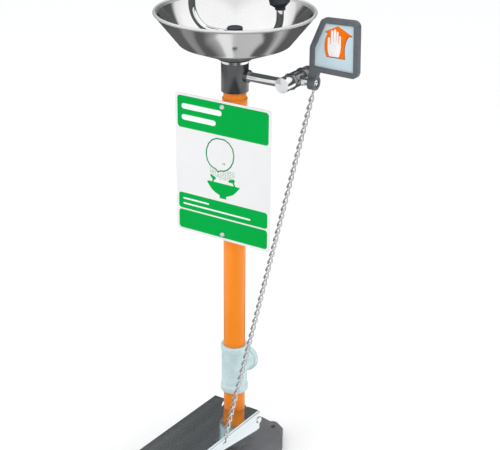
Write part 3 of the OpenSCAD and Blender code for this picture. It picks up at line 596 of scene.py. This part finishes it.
panel_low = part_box("flag_panel")[0]
panel_mid = (panel_low.x + 0.039, panel_low.z + 0.041)
panel_face = panel_low.y
ARROW = [(5, 37.7), (-21, 24.6), (-14.2, 23.7), (-17, 18), (-19.5, 11), (-20.6, 3), (-20.3, -6),
         (-18.6, -13), (-16.2, -18.7), (20.2, -18.2), (19, -8), (18.9, 2), (20, 10), (22.4, 17),
         (25.3, 22.1), (33.5, 24.1)]
HAND = [(-10.5, -17.6), (-13.2, -10), (-14, -3), (-14, 14), (-12.9, 15.6), (-10.8, 15.6), (-9.8, 14),
        (-9.4, 4), (-8.3, 4), (-8, 27), (-6.8, 28.9), (-4.9, 28.9), (-3.7, 27), (-3.2, 9), (-2.6, 9),
        (-2.4, 29.5), (-1.2, 31.4), (0.6, 31.4), (1.7, 29.5), (1.9, 8.6), (2.5, 8.6), (2.8, 26.2),
        (4, 28), (5.6, 28), (6.6, 26.2), (6.9, 6.4), (7.7, 6.2), (8.3, 19.6), (9.3, 21.2), (10.6, 21),
        (11.4, 19.4), (11.8, 2), (11, -7), (8.4, -16.8)]
arrow_orange = finish_of("arrow_orange_print", (240, 112, 2), (250, 124, 8), (0.4, 0.5), clouds=60,
                         grain_size=1500, relief=0.02, shine=0.08)
arrow_shade = finish_of("arrow_dark_print", (20, 30, 36), (34, 46, 52), (0.3, 0.4), clouds=60,
                        grain_size=1500, relief=0.02)
hand_white = finish_of("hand_white_print", (240, 240, 240), (250, 250, 250), (0.3, 0.4), clouds=60,
                       grain_size=1500, relief=0.02)
shade_line = [(x + 0.9, z - 1.0) for x, z in ARROW]
for name, outline, raised, thick, ink in (("arrow_shadow", shade_line, 0.00005, 0.00006, arrow_shade),
                                          ("push_arrow", ARROW, 0.00015, 0.0001, arrow_orange),
                                          ("push_hand", HAND, 0.00025, 0.0001, hand_white)):
    fit(cut_film(name, as_metres(outline, panel_mid), panel_face - raised, thick), "handle", ink,
        "flag_blue")

# ---- Chain ---------------------------------------------------------------------------------------
# A twist-link steel chain joins the push flag to the treadle, so that a foot or a hand opens the valve.
# A double-eye link hangs it from the lever's pin, and an open hook catches the treadle's flange.
WIRE = 0.0016
LINK_END = 0.0041
LINKS = 46
CHAIN_PLAY = 0.0003
FACING = math.radians(35)
hook_low, hook_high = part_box("chain_hook")
ring_low, ring_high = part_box("chain_ring")
chain_foot = Vector((hook_high.x - 0.00525, (hook_low.y + hook_high.y) / 2, hook_high.z - 0.00405))
chain_head = Vector(((ring_low.x + ring_high.x) / 2, ring_low.y + 0.0044, ring_low.z + 0.00335))
chain_run = chain_head - chain_foot
link_span = (chain_run.length + (LINKS - 1) * (2 * WIRE + CHAIN_PLAY)) / LINKS
bpy.ops.object.select_all(action="DESELECT")
bpy.ops.mesh.primitive_torus_add(major_radius=LINK_END, minor_radius=WIRE, major_segments=20,
                                 minor_segments=10, location=(0, 0, 0), rotation=(math.pi / 2, 0, 0))
link = bpy.context.object
bpy.ops.object.transform_apply(location=True, rotation=True, scale=True)
link.data.transform(Matrix.Translation((0, 0, LINK_END)))
bpy.ops.object.mode_set(mode="EDIT")
bpy.ops.mesh.select_all(action="SELECT")
bpy.ops.mesh.bisect(plane_co=(0, 0, LINK_END), plane_no=(0, 0, 1))
bpy.ops.object.mode_set(mode="OBJECT")
for corner in link.data.vertices:
    corner.select = corner.co.z > LINK_END + 1e-6
for edge in link.data.edges:
    edge.select = all(link.data.vertices[v].select for v in edge.vertices)
for face in link.data.polygons:
    face.select = all(link.data.vertices[v].select for v in face.vertices)
bpy.ops.object.mode_set(mode="EDIT")
bpy.ops.transform.translate(value=(0, 0, link_span - 2 * LINK_END))
for cut in range(1, 5):
    bpy.ops.mesh.select_all(action="SELECT")
    bpy.ops.mesh.bisect(plane_co=(0, 0, LINK_END + cut / 5 * (link_span - 2 * LINK_END)),
                        plane_no=(0, 0, 1))
bpy.ops.object.mode_set(mode="OBJECT")
bpy.ops.object.modifier_add(type="SIMPLE_DEFORM")
link.modifiers[-1].deform_method = "TWIST"
link.modifiers[-1].deform_axis = "Z"
link.modifiers[-1].angle = math.radians(112)
bpy.ops.object.modifier_apply(modifier=link.modifiers[-1].name)
heading = math.atan2(chain_run.y, chain_run.x)
lean = math.acos(chain_run.z / chain_run.length)
hang = (Matrix.Translation(chain_foot) @ Matrix.Rotation(heading, 4, "Z") @ Matrix.Rotation(lean, 4, "Y")
        @ Matrix.Rotation(-heading, 4, "Z"))
strand = []
for i in range(LINKS):
    made = link.copy()
    made.data = link.data.copy()
    bpy.context.scene.collection.objects.link(made)
    made.data.transform(hang @ Matrix.Translation((0, 0, i * (link_span - 2 * WIRE - CHAIN_PLAY)))
                        @ Matrix.Rotation(FACING, 4, "Z"))
    strand.append(made)
bpy.data.objects.remove(link)
bpy.ops.object.select_all(action="DESELECT")
for made in strand:
    made.select_set(True)
bpy.context.view_layer.objects.active = strand[0]
bpy.ops.object.join()
strand[0].name = "pull_chain"
bpy.ops.object.shade_smooth()
chain_steel = finish_of("chain_steel", (186, 189, 192), (232, 234, 236), (0.10, 0.16), metal=1.0,
                        clouds=260, grain_size=2600, relief=0.05)
fit(strand[0], "chain", chain_steel, "zinc_steel", "chain")
for node, name in (("chain_ring", "double_eye_link"), ("chain_hook", "open_hook")):
    fit(eased_copy(node, name, 0), "chain", chain_steel, "zinc_steel", node)

# ---- Treadle -------------------------------------------------------------------------------------
# A long foot plate, notched round the stanchion and bent down along its sides and front for stiffness. It
# is stainless sheet brushed lengthwise, hung on two bolts from its side flanges.
treadle = eased_copy("treadle", "foot_treadle", 0)
low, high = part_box("treadle")
bpy.ops.object.mode_set(mode="EDIT")
bpy.ops.mesh.select_mode(type="EDGE")
bpy.ops.mesh.select_all(action="DESELECT")
bpy.ops.object.mode_set(mode="OBJECT")
corners = treadle.data.vertices
for edge in treadle.data.edges:
    a, b = (corners[v].co for v in edge.vertices)
    outside = abs(a.x) > high.x - 1e-5 and abs(b.x) > high.x - 1e-5
    long_edge = abs(a.y - b.y) > 0.2 and abs(a.z - b.z) < 0.02 and outside and min(a.z, b.z) > low.z + 0.025
    front_edge = abs(a.x - b.x) > 0.1 and max(a.y, b.y) < low.y + 0.004 and min(a.z, b.z) > low.z + 0.025
    edge.select = long_edge or front_edge
bpy.ops.object.mode_set(mode="EDIT")
bpy.ops.mesh.bevel(offset=0.0032, segments=5, affect="EDGES")
bpy.ops.mesh.select_mode(type="VERT")
bpy.ops.object.mode_set(mode="OBJECT")
bpy.ops.object.modifier_add(type="BEVEL")
treadle.modifiers[-1].width = 0.0004
treadle.modifiers[-1].segments = 1
treadle.modifiers[-1].limit_method = "ANGLE"
treadle.modifiers[-1].angle_limit = math.radians(50)
bpy.ops.object.modifier_apply(modifier=treadle.modifiers[-1].name)
bpy.ops.object.shade_smooth_by_angle(angle=math.radians(30))
brushed = finish_of("brushed_stainless", (206, 216, 219), (222, 230, 232), (0.10, 0.16), metal=1.0,
                    clouds=40, grain_size=1400, relief=0.008, stretch=(1, 0.03, 1))
fit(treadle, "treadle", brushed, "stainless", "treadle")

# ---- Treadle bracket -----------------------------------------------------------------------------
# A cast collar clamped to the stanchion by one screw, with an ear each side for the hinge bolts and a stop
# bar under the plate's heel.
fit(eased_copy("treadle_bracket", "hinge_collar", 0.0008), "stand", grey_enamel, "cast_grey",
    "treadle_bracket")
for node, name in (("bracket_screws", "collar_screw"), ("hinge_bolts", "hinge_bolt_pair"),
                   ("hinge_nuts", "hinge_nut_pair")):
    fit(eased_copy(node, name, 0.0004), "stand", zinc, "zinc_steel", node)

# ---- Sign ----------------------------------------------------------------------------------------
# A white plate on two clamps coated like the stanchion, each with a screw through the plate. Its green
# print is a heading, two lower blocks, and a head rinsed over a bowl. Plain bars stand for lines of words.
white_plate = finish_of("white_sign_plate", (231, 231, 231), (237, 237, 237), (0.35, 0.45), clouds=12,
                        grain_size=700, relief=0.02)
fit(eased_copy("sign_panel", "sign_plate", 0.0004), "stand", white_plate, "sign_white", "sign_panel")
fit(eased_copy("sign_clamps", "sign_pipe_clamps", 0.0007), "stand", orange_coat, "clamp_grey",
    "sign_clamps")
for node, name in (("sign_screws", "sign_screw_pair"), ("sign_nuts", "sign_nut_set")):
    fit(eased_copy(node, name, 0.0003), "stand", zinc, "zinc_steel", node)

sign_low, sign_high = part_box("sign_panel")
sign_face = sign_low.y
sign_mid = (0.0, (sign_low.z + sign_high.z) / 2)
PRINT = 0.00012


def rounded(x0, z0, x1, z1, corner, steps=5):
    points = []
    for cx, cz, start in ((x1 - corner, z1 - corner, 0), (x0 + corner, z1 - corner, 90),
                          (x0 + corner, z0 + corner, 180), (x1 - corner, z0 + corner, 270)):
        for i in range(steps + 1):
            a = math.radians(start + 90 * i / steps)
            points.append((cx + corner * math.cos(a), cz + corner * math.sin(a)))
    return points


def joined(name, films):
    bpy.ops.object.select_all(action="DESELECT")
    for film in films:
        film.select_set(True)
    bpy.context.view_layer.objects.active = films[0]
    if len(films) > 1:
        bpy.ops.object.join()
    films[0].name = name
    return films[0]


def printed(shapes, layer=1):
    front = sign_face - layer * PRINT
    return [cut_film("print", as_metres(shape, sign_mid), front, PRINT) for shape in shapes]


sign_green = finish_of("sign_green_print", (0, 164, 66), (0, 174, 74), (0.5, 0.6), clouds=14,
                       grain_size=900, relief=0.02, shine=0.04)
blocks = [rounded(-99, 70.7, 99, 132.2, 6), rounded(-98.5, -90.8, 98.5, -59.2, 6),
          rounded(-98.5, -131.7, 98.5, -93.8, 6)]
bowl_mark = [(-34.5, -24.2), (-30, -22.7), (36.5, -22.7), (38.5, -24), (31, -33), (24, -40), (15, -44.5),
             (8.5, -47), (8.5, -52.5), (-6, -52.5), (-6, -47), (-15, -43.5), (-23, -38.5), (-29, -32)]
left_jet = [(-22.8, -22.9), (-21.5, -17.8), (-27.3, -11.6), (-25.2, -8.8), (-15.5, -12.8), (-13.8, -16.6),
            (-18.2, -18.6), (-19.2, -22.9)]
right_jet = [(25.2, -22.9), (22.6, -17.2), (14, -17.2), (12.6, -15.2), (17.2, -11), (26, -9),
             (27.8, -12.4), (25.9, -16), (28.8, -22.9)]
fit(joined("green_print", printed(blocks + [bowl_mark, left_jet, right_jet])), "stand", sign_green,
    "sign_white")
pale_print = finish_of("pale_print", (236, 246, 240), (246, 252, 248), (0.34, 0.44), clouds=14,
                       grain_size=900, relief=0.02)
bars = [(-89.5, 107.2, -1, 117.6), (-89.5, 86, -14, 96.4), (-88.5, -72, -30, -68.8),
        (-88.5, -82.4, 62, -79.2)]
fit(joined("word_bars", printed([rounded(*bar, (bar[3] - bar[1]) / 2) for bar in bars], layer=2)),
    "stand", pale_print, "sign_white")

# The head in profile is a plain closed curve, drawn as a thin line, with a closed eye and rows of drops.
FACE = [(-12.2, 63.4), (-22, 59), (-30, 50), (-34.6, 38), (-35.2, 28), (-33, 17.4), (-27, 9), (-20, 4.6),
        (-14.6, 3.6), (-9.4, -0.9), (-4, 1.8), (3, 2.4), (11.5, 6.6), (18.5, 14), (23.6, 24), (25.4, 36),
        (22.6, 49.6), (15, 58.6), (5, 63.6)]


def line_round(outline, half):
    count = len(outline)
    sides = [[], []]
    for i, (x, z) in enumerate(outline):
        before, after = outline[i - 1], outline[(i + 1) % count]
        along = Vector((after[0] - before[0], after[1] - before[1])).normalized()
        for k, sign in ((0, 1), (1, -1)):
            sides[k].append((x + sign * half * along.y, z - sign * half * along.x))
    return [[sides[0][i], sides[0][(i + 1) % count], sides[1][(i + 1) % count], sides[1][i]]
            for i in range(count)]


line_green = finish_of("line_green_print", (0, 136, 84), (8, 150, 96), (0.5, 0.6), clouds=14,
                       grain_size=900, relief=0.02, shine=0.1)
strokes = line_round(FACE, 1.25)
fit(joined("face_line", printed(strokes)), "stand", line_green, "sign_white")
drops = []
scatter = random.Random(7)
for row in range(7):
    for column in range(15):
        x = -26 + column * 3.7 + scatter.uniform(-0.9, 0.9)
        z = 3.5 - row * 3.0 + scatter.uniform(-0.7, 0.7)
        under_face = z < 1.4 - 0.28 * abs(x + 8) + 0.022 * (x + 8) ** 2
        inside_fan = z > -17.5 + abs(x - 1) * 0.38
        if under_face and inside_fan:
            drops.append([(x + 0.85 * math.cos(t * math.pi / 3), z + 0.85 * math.sin(t * math.pi / 3))
                          for t in range(6)])
eye = [[(0.5, 15.4), (3.3, 15.4), (3.3, 17.4), (0.5, 17.4)],
       [(5, 14), (6.1, 16.6), (5, 19.4), (4.2, 19), (5, 16.6), (4.2, 14.4)]]
fit(joined("water_drops", printed(drops + eye)), "stand", line_green, "sign_white")

# The spun bowl mirrors the studio's cloths, and not the print and fittings that stand close under it.
SEEN_IN_METAL = ("eyewash_bowl", "strainer", "riser_tube", "arm_hub", "arm_hub_cap", "left_arm_tube",
                 "right_arm_tube", "left_head_cup", "right_head_cup", "left_flip_cap", "right_flip_cap",
                 "lower_stanchion", "drain_tee")
for made in bpy.context.scene.objects:
    if made.name not in SEEN_IN_METAL:
        made.visible_glossy = False
